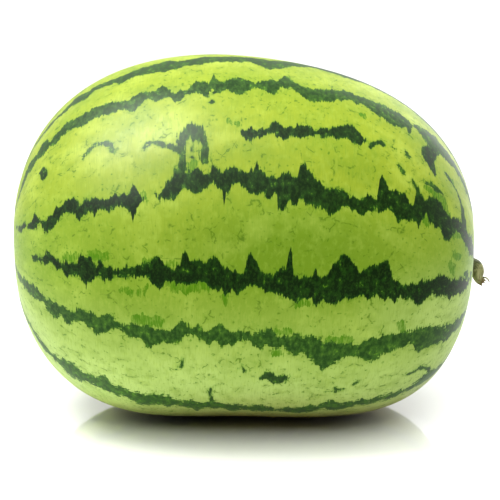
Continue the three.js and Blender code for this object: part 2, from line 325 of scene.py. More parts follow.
# Mid-green patches that lie along the stripes, where the dark pigment is thin
patches = {
    "overLower": [(-29.6, 97.6, 3.6), (-24.5, 97.6, 3.6)],
    "overFrontLeft": [(-47.8, 79.2, 2), (-46.2, 78.8, 2.6), (-45.8, 80.4, 2)],
    "overFrontMiddle": [(-42, 78.2, 1.4), (-39.8, 77.8, 2.2), (-37.8, 78.6, 2.8)],
    "overFrontRing": [(-26.8, 79.6, 1.5), (-20.2, 79.6, 1.8)],
    "underFront": [(-19.8, 85.8, 3.6), (-15, 86, 3.6), (-10, 85, 2)],
    "underFrontDrop": [(-5.2, 88, 1.6), (-5.2, 90.3, 1.4)],
    "underFrontLeft": [(-33, 88.4, 1.4), (-31.6, 88.6, 1.8), (-28, 88.4, 1.5), (-26.6, 86.2, 1.1)],
    "underFrontRight": [(15.5, 89.6, 1.4), (18.6, 90, 1.6)],
    "overLowerRight": [(24.8, 102.4, 2), (30, 102.2, 2.6)],
    "overLowerMiddle": [(10.6, 99, 2), (13, 99.2, 1.6)],
    "overLowerEnd": [(43.2, 98.6, 1.8), (43.8, 100.4, 1.8)],
    "overShoulder": [(47.6, 48.6, 1.4), (51, 49, 2.2), (54.2, 50.8, 3.6), (55.8, 54.4, 3)],
    "inShoulder": [(47.4, 57, 1.8), (48.8, 59.4, 2.8), (48.4, 61.8, 2)],
    "brokenFaint": [(-5.6, 38.9, 0.9), (-3.2, 39.4, 2.2)],
    "underShoulder": [(59.8, 62, 2.6), (62, 62.6, 1.8)],
    "shoulderGap": [(-26.6, 60, 1.4), (-26.2, 61.6, 1.2)],
    "inRing": [(-14.2, 51.5, 2), (-16.6, 56.6, 1.8)],
    "stemEndHigh": [(60.4, 72, 1.5), (63, 72.2, 1.2)],
    "stemEndLow": [(58.8, 77.4, 1.8), (60.2, 79, 1.8)],
    "upperLoose": [(56, 36, 1.6), (58.6, 35.8, 1.6)],
    "underUpper": [(29.8, 28.2, 1.3), (30.6, 28.6, 1.2)],
    "lowLoose": [(9.4, 107, 1.8), (10.8, 106.8, 1.6)],
}

# The stripes on the far side and the belly, which grow the same way from seeded random numbers
farStripes = {
    "seed": 11,
    "bearings": [163, 188, 213, 240, 266, 291, 314, 337],
    "tones": (0.1, 0.7),
    "first": -80,            # latitude
    "last": 82,
    "step": 1.4,             # degrees of latitude between edge points
    "halfWidth": 2.4,        # degrees of bearing
    "swell": 0.35,           # how much of its width comes and goes
    "swellLength": 9,        # degrees of latitude to a radian of that
    "sway": 2.2,
    "swayLength": 19,
    "wander": 0.4,           # degrees, of each edge point
    "widths": (0.7, 1.1),    # of each edge, as shares of the stripe's half width
    "spikeShare": 0.16,
    "spikeHeight": 5.0,
    "spikeHeights": (0.2, 1),
}


def growStripe(bearing, random):
    # a stripe wanders about its bearing, and short spikes run out from it along the veins
    far = farStripes
    swayPhase, widthPhase = random.uniform(0, 2 * math.pi, 2)
    edges = []
    for latitude in np.arange(far["first"], far["last"], far["step"]):
        sway = far["sway"] * math.sin(latitude / far["swayLength"] + swayPhase)
        middle = bearing + sway + random.normal(0, far["wander"])
        half = far["halfWidth"] * (1 + far["swell"] * math.sin(latitude / far["swellLength"] + widthPhase))
        spikes = random.uniform(*far["spikeHeights"], 2) * far["spikeHeight"]
        spikes = spikes * (random.uniform(0, 1, 2) < far["spikeShare"])
        above, below = half * random.uniform(*far["widths"], 2) + spikes
        place = latitude + random.uniform(-far["wander"], far["wander"])
        edges.append((place, middle - above, middle + below))
    return edges


def roundTurn(angle):
    return (angle + 180) % 360 - 180


def stripeDepth(latitude, bearing, mmPerBearing, edges):
    # how far inside the stripe a place lies, in mm, and negative outside it
    at, upper, lower = np.array(edges, dtype=float).T
    fromUpper = roundTurn(bearing - np.interp(latitude, at, upper))
    fromLower = roundTurn(np.interp(latitude, at, lower) - bearing)
    depth = np.minimum(fromUpper, fromLower) * mmPerBearing
    pastEnd = np.maximum(at[0] - latitude, latitude - at[-1]) * stripeForm["mmPerLatitude"]
    return np.where(pastEnd > 0, np.minimum(depth, -pastEnd), depth)


def strokeDepth(latitude, bearing, mmPerBearing, path):
    # the same for a mark drawn along a path
    depth = np.full(latitude.shape, stripeForm["furthest"])
    alongMark = latitude * stripeForm["mmPerLatitude"]
    for (fromLat, fromTurn, fromHalf), (toLat, toTurn, toHalf) in zip(path, path[1:]):
        runLat = (toLat - fromLat) * stripeForm["mmPerLatitude"]
        runTurn = (toTurn - fromTurn) * mmPerBearing
        aheadLat = alongMark - fromLat * stripeForm["mmPerLatitude"]
        aheadTurn = roundTurn(bearing - fromTurn) * mmPerBearing
        share = (aheadLat * runLat + aheadTurn * runTurn) / (runLat ** 2 + runTurn ** 2)
        share = np.clip(share, 0, 1)
        away = np.hypot(aheadLat - share * runLat, aheadTurn - share * runTurn)
        depth = np.maximum(depth, fromHalf + (toHalf - fromHalf) * share - away)
    return depth


# The relief of the skin, in metres, and the mesh that shows it
skinForm = {
    "seed": 4,
    "lumps": 0.0005,          # broad unevenness, as waves along the fruit and round it
    "lumpWaves": [(2.3, 2), (3.1, 3), (5.2, 2), (4.1, 5), (7.3, 4)],
    "ribs": 0.0003,           # faint, one along each stripe
    "ribCount": 16,
    "stemRidges": 0.0006,     # short ridges that run into the stem
    "ridgeCount": 8,
    "ridgeBend": 0.8,
    "ridgeMiddle": 0.011,     # from the stem
    "ridgeReach": 0.007,
    "scarDimple": 0.0014,     # at the blossom end
    "scarDimpleRadius": 0.009,
    "scarHeight": 0.0011,     # corky button where the flower was
    "scarRadius": 0.0036,
    "restRounding": 0.0006,   # rounding at the edge of the flat spot it rests on
    "frontFrom": -10,         # the bearings with the finest mesh
    "frontTo": 160,
    "frontSteps": 170,
    "backSteps": 78,
    "alongSteps": 400,
    "uvMargin": 0.004,
}


def skinRelief(latitude, bearing, fromStem, fromBlossom):
    turn, lat = np.radians(bearing), np.radians(latitude)
    random = np.random.default_rng(skinForm["seed"])
    relief = np.zeros(latitude.shape)
    for waveAlong, waveAround in skinForm["lumpWaves"]:
        phaseAlong, phaseAround = random.uniform(0, 2 * math.pi, 2)
        wave = np.sin(waveAlong * lat + phaseAlong) * np.sin(waveAround * turn + phaseAround)
        relief += skinForm["lumps"] / 2 * wave * np.cos(lat)
    relief += skinForm["ribs"] * np.cos(skinForm["ribCount"] * turn) * np.cos(lat)
    ridge = np.cos(skinForm["ridgeCount"] * turn + skinForm["ridgeBend"] * np.sin(2 * turn))
    reach = np.exp(-((fromStem - skinForm["ridgeMiddle"]) / skinForm["ridgeReach"]) ** 2)
    relief += skinForm["stemRidges"] * ridge * reach
    relief -= fruitForm["hollowDepth"] * np.exp(-(fromStem / fruitForm["hollowRadius"]) ** 2)
    relief -= skinForm["scarDimple"] * np.exp(-(fromBlossom / skinForm["scarDimpleRadius"]) ** 2)
    relief += skinForm["scarHeight"] * np.exp(-(fromBlossom / skinForm["scarRadius"]) ** 4)
    return relief


def uvPlace(place, count):
    # keeps the unrolled skin a little inside its texture
    return skinForm["uvMargin"] + (1 - 2 * skinForm["uvMargin"]) * place / count


def growFruit():
    latitudes = np.linspace(-90, 90, skinForm["alongSteps"] + 1)[1:-1]
    front = np.linspace(skinForm["frontFrom"], skinForm["frontTo"], skinForm["frontSteps"] + 1)
    back = np.linspace(skinForm["frontTo"], skinForm["frontFrom"] + 360, skinForm["backSteps"] + 1)
    bearings = np.concatenate([front[:-1], back[:-1]])
    rows, columns = len(latitudes), len(bearings)
    latitude, bearing = (grid.ravel() for grid in np.meshgrid(latitudes, bearings, indexing="ij"))
    latitude = np.concatenate([latitude, [-90, 90]])
    bearing = np.concatenate([bearing, [90, 90]])

    directions = towards(latitude, bearing)
    reach = findSkin(directions)
    points = growthMiddle + directions * reach[:, None]
    stemRoot = growthMiddle + stemwards * findSkin(stemwards[None])[0]
    blossomRoot = growthMiddle - stemwards * findSkin(-stemwards[None])[0]
    fromStem = np.linalg.norm(points - stemRoot, axis=1)
    fromBlossom = np.linalg.norm(points - blossomRoot, axis=1)
    points = points + directions * skinRelief(latitude, bearing, fromStem, fromBlossom)[:, None]
    points[:, 2] += axisHeight
    height = points[:, 2]
    points[:, 2] = (height + np.sqrt(height ** 2 + skinForm["restRounding"] ** 2)) / 2

    corner = np.arange(rows * columns).reshape(rows, columns)
    nextCorner = np.roll(corner, -1, axis=1)
    quads = np.stack([corner[:-1], nextCorner[:-1], nextCorner[1:], corner[1:]], axis=-1).reshape(-1, 4)
    blossomPole, stemPole = rows * columns, rows * columns + 1
    fans = [(blossomPole, nextCorner[0, place], corner[0, place]) for place in range(columns)]
    fans += [(stemPole, corner[-1, place], nextCorner[-1, place]) for place in range(columns)]
    faces = quads.tolist() + fans
    mesh = bpy.data.meshes.new("watermelonSkin")
    mesh.from_pydata(points.tolist(), [], faces)
    mesh.shade_smooth()

    # unrolled along the fruit and round it, with the cut at the back
    texture = mesh.uv_layers.new(name="OFBake")
    columnOf = np.tile(np.arange(columns), (rows - 1, 1)).ravel()
    rowOf = np.repeat(np.arange(rows - 1), columns)
    quadUv = np.stack([
        np.stack([uvPlace(rowOf + 1 + stepAlong, rows + 1), uvPlace(columnOf + stepRound, columns)], -1)
        for stepAlong, stepRound in ((0, 0), (0, 1), (1, 1), (1, 0))
    ], axis=1).reshape(-1, 2)
    fanUv = []
    for pole, ring, steps in ((0, 1, (1, 0)), (rows + 1, rows, (0, 1))):
        for place in range(columns):
            fanUv.append((uvPlace(pole, rows + 1), uvPlace(place + 0.5, columns)))
            fanUv += [(uvPlace(ring, rows + 1), uvPlace(place + step, columns)) for step in steps]
    texture.data.foreach_set("uv", np.concatenate([quadUv, np.array(fanUv)]).ravel())
    return mesh, latitude, bearing, reach, fromStem, fromBlossom, stemRoot


def paintFruit(mesh, latitude, bearing, reach, fromStem, fromBlossom):
    lat, turn = np.radians(latitude), np.radians(bearing)
    mmPerBearing = np.maximum(reach * np.cos(lat), mm) / mm * math.pi / 180
    depth = np.full(latitude.shape, stripeForm["furthest"])
    tone, combing = np.zeros(latitude.shape), np.ones(latitude.shape)
    random = np.random.default_rng(farStripes["seed"])
    grown = [(stripeDepth, stripe["edges"], stripe["tone"], 1.0) for stripe in stripes.values()]
    grown += [(stripeDepth, growStripe(place, random), random.uniform(*farStripes["tones"]), 1.0)
              for place in farStripes["bearings"]]
    for stroke in strokes.values():
        itsCombing = stroke.get("combing", stripeForm["strokeCombing"])
        grown.append((strokeDepth, stroke["path"], stroke["tone"], itsCombing))
    for measure, outline, itsTone, itsCombing in grown:
        itsDepth = measure(latitude, bearing, mmPerBearing, outline)
        tone = np.where(itsDepth > depth, itsTone, tone)
        combing = np.where(itsDepth > depth, itsCombing, combing)
        depth = np.maximum(depth, itsDepth)
    patchDepth = np.full(latitude.shape, stripeForm["furthest"])
    for path in patches.values():
        patchDepth = np.maximum(patchDepth, strokeDepth(latitude, bearing, mmPerBearing, path))

    fields = {}
    for name, field in groundFields.items():
        away = np.hypot((latitude - field["latitude"]) / field["halfLength"],
                        roundTurn(bearing - field["bearing"]) / field["halfWidth"])
        fields[name] = ease(np.clip((1 - away) / field["edge"], 0, 1))
    # painted floor light: paler on the lower flanks and at the stem end
    underSide = (np.abs(roundTurn(bearing)) - paintedBounceForm["from"]) / (paintedBounceForm["to"] - paintedBounceForm["from"])
    paintedBounce = np.maximum(ease(np.clip(underSide, 0, 1)), paintedBounceForm["paleEndShare"] * fields.pop("paleEnd"))

    radius = stripeForm["middleRadius"]
    unrolled = np.stack(
        [latitude * stripeForm["mmPerLatitude"], radius * np.cos(turn), radius * np.sin(turn)], -1)
    unrolled[-2:, 1:] = 0
    limits = stripeForm["furthest"], stripeForm["deepest"]
    for name, values in {
        "stripeDepth": np.clip(depth, *limits), "stripeTone": tone, "combing": combing,
        "patchDepth": np.clip(patchDepth, *limits), "paintedBounce": paintedBounce, "fromStem": fromStem / mm,
        "fromBlossom": fromBlossom / mm, "unrolled": unrolled, **fields,
    }.items():
        storeOnPoints(mesh, name, values)


# Broad changes in the ground colour: the middle of each in latitude and bearing, and how far it reaches
groundFields = {
    # painted top light over the crown
    "paintedTopLight": {"latitude": 0, "bearing": 8, "halfLength": 150, "halfWidth": 78, "edge": 0.5},
    "deep": {"latitude": 14, "bearing": 76, "halfLength": 54, "halfWidth": 30, "edge": 0.9},
    "paleEnd": {"latitude": 56, "bearing": 100, "halfLength": 34, "halfWidth": 30, "edge": 0.8},
    # partly the ground spot, partly painted shade on the belly towards where the fruit rests
    "belly": {"latitude": 10, "bearing": 177, "halfLength": 78, "halfWidth": 57, "edge": 0.75},
    "groundSpot": {"latitude": 12, "bearing": 178, "halfLength": 48, "halfWidth": 38, "edge": 0.75},
}
# The bearings between which the ground colour turns paler, painted light from the white floor below, and how
# pale the stem end is beside them, painted in the same way
paintedBounceForm = {"from": 84, "to": 128, "paleEndShare": 0.8}

rindLook = {
    "ground": "#758E28",            # between the stripes
    "paintedTopLightTint": "#879522",      # painted top light: yellower and lighter on the crown, where the lamps fall
    "groundDeep": "#5D7A16",        # greener on the front
    "groundPale": "#92A743",
    "paintedBounce": "#90A658",             # painted floor light: paler below, where the white floor lights it and shows in its shine
    "vein": "#5E7B1C",              # hair-fine darker veins across the stripes
    "veinlet": "#466410",           # short cracks and stray veins
    "stripeDark": "#061A01",
    "stripeMid": "#183C04",
    "stripeThin": "#3F6617",        # the lighter, netted stripes
    "stripeRim": "#26560A",         # just inside a stripe's edge
    "fringe": "#4C7413",            # where a stripe's pigment thins out
    "patch": "#3F6A02",             # greener skin beside a stripe
    "fleck": "#4A6C0F",
    "belly": "#9C8A42",             # the ground spot, which never saw the sun, spread darker over the belly as painted shade near where the fruit rests
    "cork": "#6F6038",
    "corkShare": 0.85,
    "bellyShare": 0.8,
    "deepestBay": 1.2,              # mm
    "gapReach": 12.0,
    "netting": 4.0,                 # how sharply a stripe opens as its tone gets lighter
    "speckTone": 0.06,
    "bendSize": 7.0,                # mm, of the wander that keeps the cells from looking ruled
    "bendReach": 7.0,
    "grainRoughness": 0.55,
    "grainOffset": 17.3,            # keeps the noises apart
    "bumpStrength": 0.1,
    "bumpHeight": 0.0004,
    "roughness": 0.46,
    "roughnessChange": (-0.04, 0.05),
    "ior": 1.45,
    "specularLevel": 0.05,
    "bloom": 0.06,                  # the wax bloom, which pales the rind where it turns away
    "bloomRoughness": 0.45,
}
# Noise in the rind: its size in mm along the fruit and round it, and its detail. The veins are really
# about 0.3 mm wide and are drawn three times as coarse, so that they show.
rindGrains = {
    "vein": (1.0, 9.0, 2),
    "fineVein": (0.9, 7.0, 3),
    "fray": (1.3, 1.9, 1),
    "mottle": (3.0, 4.6, 4),
    "gap": (5.5, 1.8, 2),           # the pale gaps in a netted stripe lie along the fruit
    "blotch": (9.0, 8.0, 3),
    "cloud": (32.0, 30.0, 4),
}
# The same for cells: the teeth of a stripe's edge, the dots between stripes and the stray veins
rindCells = {
    "tooth": (4.4, 13.0, "F1"),
    "dot": (4.2, 4.2, "F1"),
    "veinlet": (12.0, 9.0, "DISTANCE_TO_EDGE"),
}
# How far each carries a stripe's edge out or in, in mm, and the value of it that leaves the edge alone
rindCombs = {"tooth": (5.0, 0.42), "vein": (6.0, 0.48), "fray": (2.0, 0.5)}
# Where each tint shows: the noise, cell or edge (in mm) that it follows, the two values of that between
# which it comes in, and its share of the colour at the first and at the second
rindShares = {
    "deep": ("cloud", 0.65, 0.35, 0, 0.55),
    "pale": ("cloud", 0.52, 0.75, 0, 0.6),
    # the painted floor light, broken up by the clouds
    "paintedBounce": ("cloud", 0.25, 0.6, 0.6, 1),
    "blotch": ("blotch", 0.48, 0.7, 0, 0.4),
    "mottle": ("mottle", 0.5, 0.3, 0, 0.22),
    "vein": ("fineVein", 0.5, 0.78, 0, 0.5),
    "stray": ("veinlet", 0.055, 0.015, 0, 1),
    "strayBreak": ("mottle", 0.44, 0.54, 0, 1),
    "strayHere": ("blotch", 0.51, 0.59, 0, 0.85),
    "dot": ("dot", 0.24, 0.12, 0, 1),
    "dotHere": ("mottle", 0.4, 0.6, 0.15, 0.9),
    "patch": ("patchEdge", -0.3, 0.2, 0, 1),
    "patchHere": ("mottle", 0.36, 0.5, 0.7, 1),
    "patchStreak": ("fineVein", 0.4, 0.55, 0.55, 1),
    "fringe": ("stripeEdge", -1.3, 0.2, 0, 0.6),
    "stripe": ("stripeEdge", -0.25, 0.35, 0, 1),
    "dense": ("mottle", 0.48, 0.74, 0, 1),
    "loose": ("mottle", 0.4, 0.7, 0, 1),
    "rim": ("stripeEdge", 1.8, 0.2, 0, 0.3),
    "fray": ("fray", 0.5, 0.75, 0, 0.16),
    "opened": ("netEdge", 0.62, 0.7, 0, 1),
    "speck": ("fray", 0.5, 0.62, 0, 0.85),
    "spot": ("cloud", 0.25, 0.6, 0.65, 0.85),
}
# Cork round the stem and on the flower scar: how far the noise moves its edge, in mm, and where it
# begins and is full
corkForm = {"fromStem": (4.0, 9.5, 6.5), "fromBlossom": (2.0, 5.4, 4.0)}


def groundColour(tree, at, share, colour):
    # clouds, painted top light, painted floor light on the flanks and painted shade on the belly, then fine
    # veins, stray veins and dots
    inDeep = addNode(tree, "Math", {"operation": "MAXIMUM", 0: share["deep"], 1: at["deep"]})
    # painted floor light on the flanks
    onPaintedBounce = addNode(tree, "Math", {"operation": "MULTIPLY", 0: at["paintedBounce"], 1: share["paintedBounce"]})
    # painted shade on the belly, in the ground spot's colour
    onBellyAndShade = addNode(tree, "Math", {"operation": "MULTIPLY", 0: at["belly"], 1: rindLook["bellyShare"]})
    inStray = share["stray"]
    for name in ("strayBreak", "strayHere"):
        inStray = addNode(tree, "Math", {"operation": "MULTIPLY", 0: inStray, 1: share[name]})
    inDot = addNode(tree, "Math", {"operation": "MULTIPLY", 0: share["dot"], 1: share["dotHere"]})
    ground = colour["ground"]
    for shown, tint in (
        (at["paintedTopLight"], "paintedTopLightTint"), (inDeep, "groundDeep"), (share["pale"], "groundPale"),
        (onPaintedBounce, "paintedBounce"), (onBellyAndShade, "belly"), (share["blotch"], "groundDeep"),
        (share["mottle"], "groundPale"), (share["vein"], "vein"), (inStray, "veinlet"), (inDot, "fleck"),
    ):
        ground = addNode(tree, "Mix", {"data_type": "RGBA", 0: shown, 6: ground, 7: colour[tint]})
    return ground


def stripeColour(tree, at, share, colour):
    # from solid dark stripes to light netted ones, greener along the edge, with pale specks inside
    solid = addNode(tree, "Mix", {"data_type": "RGBA", 0: share["dense"], 6: colour["stripeDark"],
                                  7: colour["stripeMid"]})
    netted = addNode(tree, "Mix", {"data_type": "RGBA", 0: share["loose"], 6: colour["stripeMid"],
                                   7: colour["stripeThin"]})
    stripe = addNode(tree, "Mix", {"data_type": "RGBA", 0: at["stripeTone"], 6: solid, 7: netted})
    inSpeck = addNode(tree, "Math", {"operation": "MULTIPLY", 0: share["opened"], 1: share["speck"]})
    for shown, tint in ((share["rim"], "stripeRim"), (share["fray"], "stripeThin"), (inSpeck, "fringe")):
        stripe = addNode(tree, "Mix", {"data_type": "RGBA", 0: shown, 6: stripe, 7: colour[tint]})
    return stripe


def makeRind():
    # Watermelon rind: a living skin under a thin natural wax. The wax gives a broad soft shine, and the
    # pigment lies in veins that run round the fruit, so every stripe has a combed edge.
    material, tree = startMaterial("waxyWatermelonRind")
    look = rindLook
    colour = {name: hexColour(value) for name, value in look.items() if isinstance(value, str)}
    at = {name: addNode(tree, "Attribute", {"attribute_name": name}, output="Fac") for name in (
        "stripeDepth", "stripeTone", "combing", "patchDepth", "paintedTopLight", "deep", "belly", "groundSpot",
        "paintedBounce", "fromStem", "fromBlossom")}
    unrolled = addNode(tree, "Attribute", {"attribute_name": "unrolled"}, output="Vector")
    follow = {}
    for name, (width, length, detail) in rindGrains.items():
        place = addNode(tree, "Mapping", {"Vector": unrolled, "Scale": (1 / width, 1 / length, 1 / length),
                                          "Location": (len(follow) * look["grainOffset"],) * 3})
        follow[name] = addNode(tree, "TexNoise", {"Vector": place, "Scale": 1.0, "Detail": detail,
                                                  "Roughness": look["grainRoughness"]})
    bend = addNode(tree, "TexNoise", {"Vector": unrolled, "Scale": 1 / look["bendSize"], "Detail": 2.0},
                   output="Color")
    bent = addNode(tree, "VectorMath", {"operation": "MULTIPLY_ADD", 0: bend, 1: (look["bendReach"],) * 3,
                                        2: unrolled})
    for name, (width, length, feature) in rindCells.items():
        place = addNode(tree, "Mapping", {"Vector": bent, "Scale": (1 / width, 1 / length, 1 / length)})
        follow[name] = addNode(tree, "TexVoronoi", {"feature": feature, "Vector": place, "Scale": 1.0})

    # pigment runs out along the veins in sharp teeth, with round bays of ground colour between them
    wander = -sum(reach * middle for reach, middle in rindCombs.values())
    for name, (reach, middle) in rindCombs.items():
        wander = addNode(tree, "Math", {"operation": "MULTIPLY_ADD", 0: follow[name], 1: reach, 2: wander})
    wander = addNode(tree, "Math", {"operation": "MAXIMUM", 0: wander, 1: -look["deepestBay"]})
    wander = addNode(tree, "Math", {"operation": "MULTIPLY", 0: wander, 1: at["combing"]})
    combed = addNode(tree, "Math", {"operation": "ADD", 0: at["stripeDepth"], 1: wander})
    gaps = addNode(tree, "MapRange", {"Value": follow["gap"], "From Min": 0.5, "From Max": 0.75,
                                      "To Max": look["gapReach"]})
    netting = addNode(tree, "Math", {"operation": "POWER", 0: at["stripeTone"], 1: look["netting"]})
    gaps = addNode(tree, "Math", {"operation": "MULTIPLY", 0: gaps, 1: netting})
    follow["stripeEdge"] = addNode(tree, "Math", {"operation": "SUBTRACT", 0: combed, 1: gaps})
    follow["patchEdge"] = addNode(tree, "Math", {"operation": "ADD", 0: at["patchDepth"], 1: wander})
    follow["netEdge"] = addNode(tree, "Math", {
        "operation": "MULTIPLY_ADD", 0: at["stripeTone"], 1: look["speckTone"], 2: follow["mottle"]})
    share = {}
    for name, (followed, start, full, least, most) in rindShares.items():
        share[name] = addNode(tree, "MapRange", {"Value": follow[followed], "From Min": start,
                                                 "From Max": full, "To Min": least, "To Max": most})

    inPatch = share["patch"]
    for name in ("patchHere", "patchStreak"):
        inPatch = addNode(tree, "Math", {"operation": "MULTIPLY", 0: inPatch, 1: share[name]})
    # the real ground spot, in the colour that also paints the belly's shade
    inSpot = addNode(tree, "Math", {"operation": "MULTIPLY", 0: at["groundSpot"], 1: share["spot"]})
    layers = [(inPatch, colour["patch"]), (share["fringe"], colour["fringe"]),
              (share["stripe"], stripeColour(tree, at, share, colour)), (inSpot, colour["belly"])]
    for name, (spread, start, full) in corkForm.items():
        away = addNode(tree, "Math", {"operation": "MULTIPLY_ADD", 0: follow["mottle"], 1: spread,
                                      2: at[name]})
        corky = addNode(tree, "MapRange", {"Value": away, "From Min": start, "From Max": full,
                                           "To Max": look["corkShare"]})
        layers.append((corky, colour["cork"]))
    surface = groundColour(tree, at, share, colour)
    for shown, tint in layers:
        surface = addNode(tree, "Mix", {"data_type": "RGBA", 0: shown, 6: surface, 7: tint})

    smoothest, roughest = (look["roughness"] + change for change in look["roughnessChange"])
    roughness = addNode(tree, "MapRange", {"Value": follow["mottle"], "From Min": 0.3, "From Max": 0.7,
                                           "To Min": smoothest, "To Max": roughest})
    height = addNode(tree, "Math", {"operation": "MULTIPLY_ADD", 0: follow["vein"], 1: 0.6,
                                    2: follow["mottle"]})
    bump = addNode(tree, "Bump", {"Height": height, "Strength": look["bumpStrength"],
                                  "Distance": look["bumpHeight"]})
    shader = addNode(tree, "BsdfPrincipled", {
        "Base Color": surface, "Roughness": roughness, "Normal": bump, "IOR": look["ior"],
        "Specular IOR Level": look["specularLevel"], "Sheen Weight": look["bloom"],
        "Sheen Roughness": look["bloomRoughness"]})
    addNode(tree, "OutputMaterial", {"Surface": shader})
    return material


mesh, latitude, bearing, reach, fromStem, fromBlossom, stemRoot = growFruit()
paintFruit(mesh, latitude, bearing, reach, fromStem, fromBlossom)
fruit = showObject("watermelonFruit", mesh)
mesh.materials.append(makeRind())
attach(fruit, "root")
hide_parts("fruit")
print("fruit grown,", len(mesh.polygons), "faces")


# The stem, cut short, and the fibres that tore loose at the cut
stemForm = {
    "path": [(-4, 0, 0), (0.6, 0, 0.2), (3.9, -0.4, -0.6), (5.4, -1.2, -3.4), (5, -2, -6.6), (6, -2.6, -9),
             (8.2, -3, -10.8)],          # mm from where it joins the fruit
    "radii": [5.4, 4.9, 4.2, 3.8, 3.4, 2.8, 2.3],
    "ribs": 5,
    "ribHeight": 0.07,                  # share of the radius, as are the other heights and the depth
    "twist": 0.9,
    "coarseStrands": (19, 0.018),       # how many go round it, and how high they stand
    "fineStrands": (31, 0.012),
    "creaseDepth": 0.05,
    "creasePlace": 0.47,                # share of the length
    "creaseWidth": 0.03,
    "creaseTurn": 2.4,
    "ringCount": 110,
    "sideCount": 72,
    "capRings": (0.88, 0.7, 0.45, 0.2),
    "cutRagged": 0.5,                   # mm
    "pithDepth": 1.1,
    "grainLength": 20,                  # mm, of the space that the strands are drawn in
    "grainRadius": 4,
}
# The shape of every fibre: its mesh, the height of its three flutes as a share of its radius, and mm that
# its end bulges
fibreMesh = {"ringCount": 40, "sideCount": 16, "flutes": 0.12, "blunt": 0.1}
fibreForm = {
    "torn": {"path": [(6.6, -2.8, -8.2), (8.8, -3.4, -7.3), (11, -3.8, -8), (12.4, -4, -10.2)],
             "radii": [0.8, 0.55, 0.45, 0.35]},
    "hair": {"path": [(7.4, -3.6, -10), (9, -4.2, -10.4), (10.4, -4.4, -11.6), (11.1, -4.2, -12.6)],
             "radii": [0.3, 0.26, 0.2, 0.12]},
}


def smoothPath(points, count):
    # one smooth curve through the points, with a radius or anything else carried along
    knots = np.array(points, dtype=float)
    padded = np.vstack([2 * knots[0] - knots[1], knots, 2 * knots[-1] - knots[-2]])
    places = np.linspace(0, len(knots) - 1, count)
    first = np.minimum(places.astype(int), len(knots) - 2)
    share = (places - first)[:, None]
    before, start, end, after = (padded[first + step] for step in range(4))
    return 0.5 * (2 * start + (end - before) * share + (2 * before - 5 * start + 4 * end - after) * share ** 2
                  + (3 * start - before - 3 * end + after) * share ** 3)


def ringFrames(spine):
    # directions across a path that turn with it and don't twist
    tangents = np.gradient(spine, axis=0)
    tangents /= np.linalg.norm(tangents, axis=1)[:, None]
    side = np.array([0, 1.0, 0])
    sides = []
    for tangent in tangents:
        side = side - tangent * side.dot(tangent)
        side = side / np.linalg.norm(side)
        sides.append(side)
    sides = np.array(sides)
    return tangents, sides, np.cross(tangents, sides)


def growStem(name, points, radii, rings, sides, shapeOf, endShape):
    spine = smoothPath([(*point, radius) for point, radius in zip(points, radii)], rings)
    spine, radius = spine[:, :3], spine[:, 3]
    tangents, across, over = ringFrames(spine)
    turn = np.linspace(0, 2 * math.pi, sides, endpoint=False)
    vertices, along, shade = [], [], []
    for place in range(rings):
        share = place / (rings - 1)
        swollen = radius[place] * shapeOf(turn, share)
        ring = spine[place] + swollen[:, None] * (
            np.cos(turn)[:, None] * across[place] + np.sin(turn)[:, None] * over[place])
        if place == rings - 1:
            ring = ring + tangents[place] * endShape(turn, 1.0)[:, None]
        vertices.append(ring)
        along.append(np.full(sides, share))
        shade.append(np.zeros(sides))
    lip, reachBack = vertices[-1], tangents[-1]
    middle = lip.mean(axis=0)
    for shrink in stemForm["capRings"]:
        ring = middle + (lip - middle) * shrink + reachBack * endShape(turn, shrink)[:, None]
        vertices.append(ring)
        along.append(np.ones(sides))
        shade.append(np.full(sides, 1 - shrink))
    caps = np.array([spine[0], middle + reachBack * endShape(turn[:1], 0.0)[0]])
    points = np.vstack(vertices + [caps]) * mm + stemRoot + np.array([0, 0, axisHeight])
    ringTotal = len(vertices)
    faces = []
    for ring in range(ringTotal - 1):
        for place in range(sides):
            after = (place + 1) % sides
            faces.append((ring * sides + place, ring * sides + after,
                          (ring + 1) * sides + after, (ring + 1) * sides + place))
    base, tip, lastRing = ringTotal * sides, ringTotal * sides + 1, (ringTotal - 1) * sides
    for place in range(sides):
        after = (place + 1) % sides
        faces.append((base, after, place))
        faces.append((tip, lastRing + place, lastRing + after))
    mesh = bpy.data.meshes.new(name)
    mesh.from_pydata(points.tolist(), [], faces)
    mesh.shade_smooth()
    alongValues = np.concatenate(along + [[0.0, 1.0]])
    cutValues = np.concatenate(shade + [[0.0, 1.0]])
    turnValues = np.concatenate([np.tile(turn, ringTotal), [0.0, 0.0]])
    lengthwise = spine[0][0] + stemForm["grainLength"] * alongValues
    grainRadius = stemForm["grainRadius"]
    wound = np.stack([lengthwise, grainRadius * np.cos(turnValues), grainRadius * np.sin(turnValues)], -1)
    for kind, values in (("along", alongValues), ("cut", cutValues), ("wound", wound)):
        storeOnPoints(mesh, kind, values)
    return showObject(name, mesh)


stemLook = {
    "skin": "#6C6F45",
    "skinPale": "#949364",
    "base": "#2E390C",
    "tip": "#4E3A17",
    "pith": "#A38F5A",
    "crack": "#2E2A10",
    "strandWidth": 0.5,          # mm round the stem
    "strandLength": 6.0,
    "blotchSize": 2.2,
    "blotchDrift": 0.14,         # share of the length that blotches move the darker base and tip
    "bumpStrength": 0.5,
    "bumpHeight": 0.0004,
    "roughness": 0.62,
    "ior": 1.45,
}
# Where each tint shows over the skin: what it follows, the two values of that between which it comes in,
# and its share of the colour at the second
stemShares = {
    "skinPale": ("strand", 0.35, 0.65, 1),
    "crack": ("strand", 0.42, 0.3, 1),
    "base": ("place", 0.46, 0.3, 0.85),
    "tip": ("place", 0.78, 0.98, 0.9),
    "pith": ("cut", 0.15, 0.45, 0.8),
}


